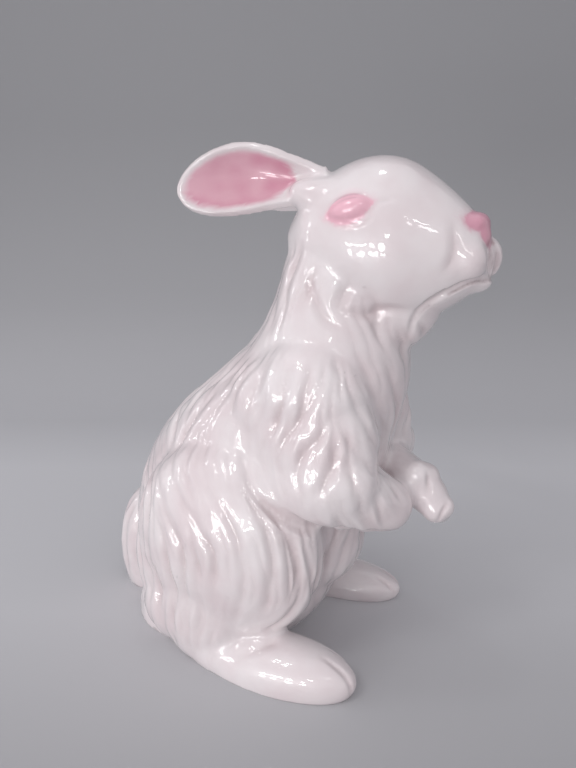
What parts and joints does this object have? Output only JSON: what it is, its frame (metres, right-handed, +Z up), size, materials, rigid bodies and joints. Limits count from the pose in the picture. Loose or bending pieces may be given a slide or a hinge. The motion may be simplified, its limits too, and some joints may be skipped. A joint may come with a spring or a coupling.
{
  "type": "ceramic rabbit figurine",
  "caption": "White glazed ceramic rabbit sitting up on its haunches, with ears laid back, one forepaw held out and carved fur.",
  "frame": {"origin": "middle of the figurine's length and width, on the surface that it stands on", "axes": "+Z up, the rabbit faces -Y, its left side is +X"},
  "size_m": [0.1691, 0.2842, 0.3359],
  "materials": {
    "glazed_ceramic": "glossy white glaze with pink eyes, nose and inner ears"
  },
  "bodies": {
    "root": {"rabbit": "glazed_ceramic"}
  },
  "joints": []
}
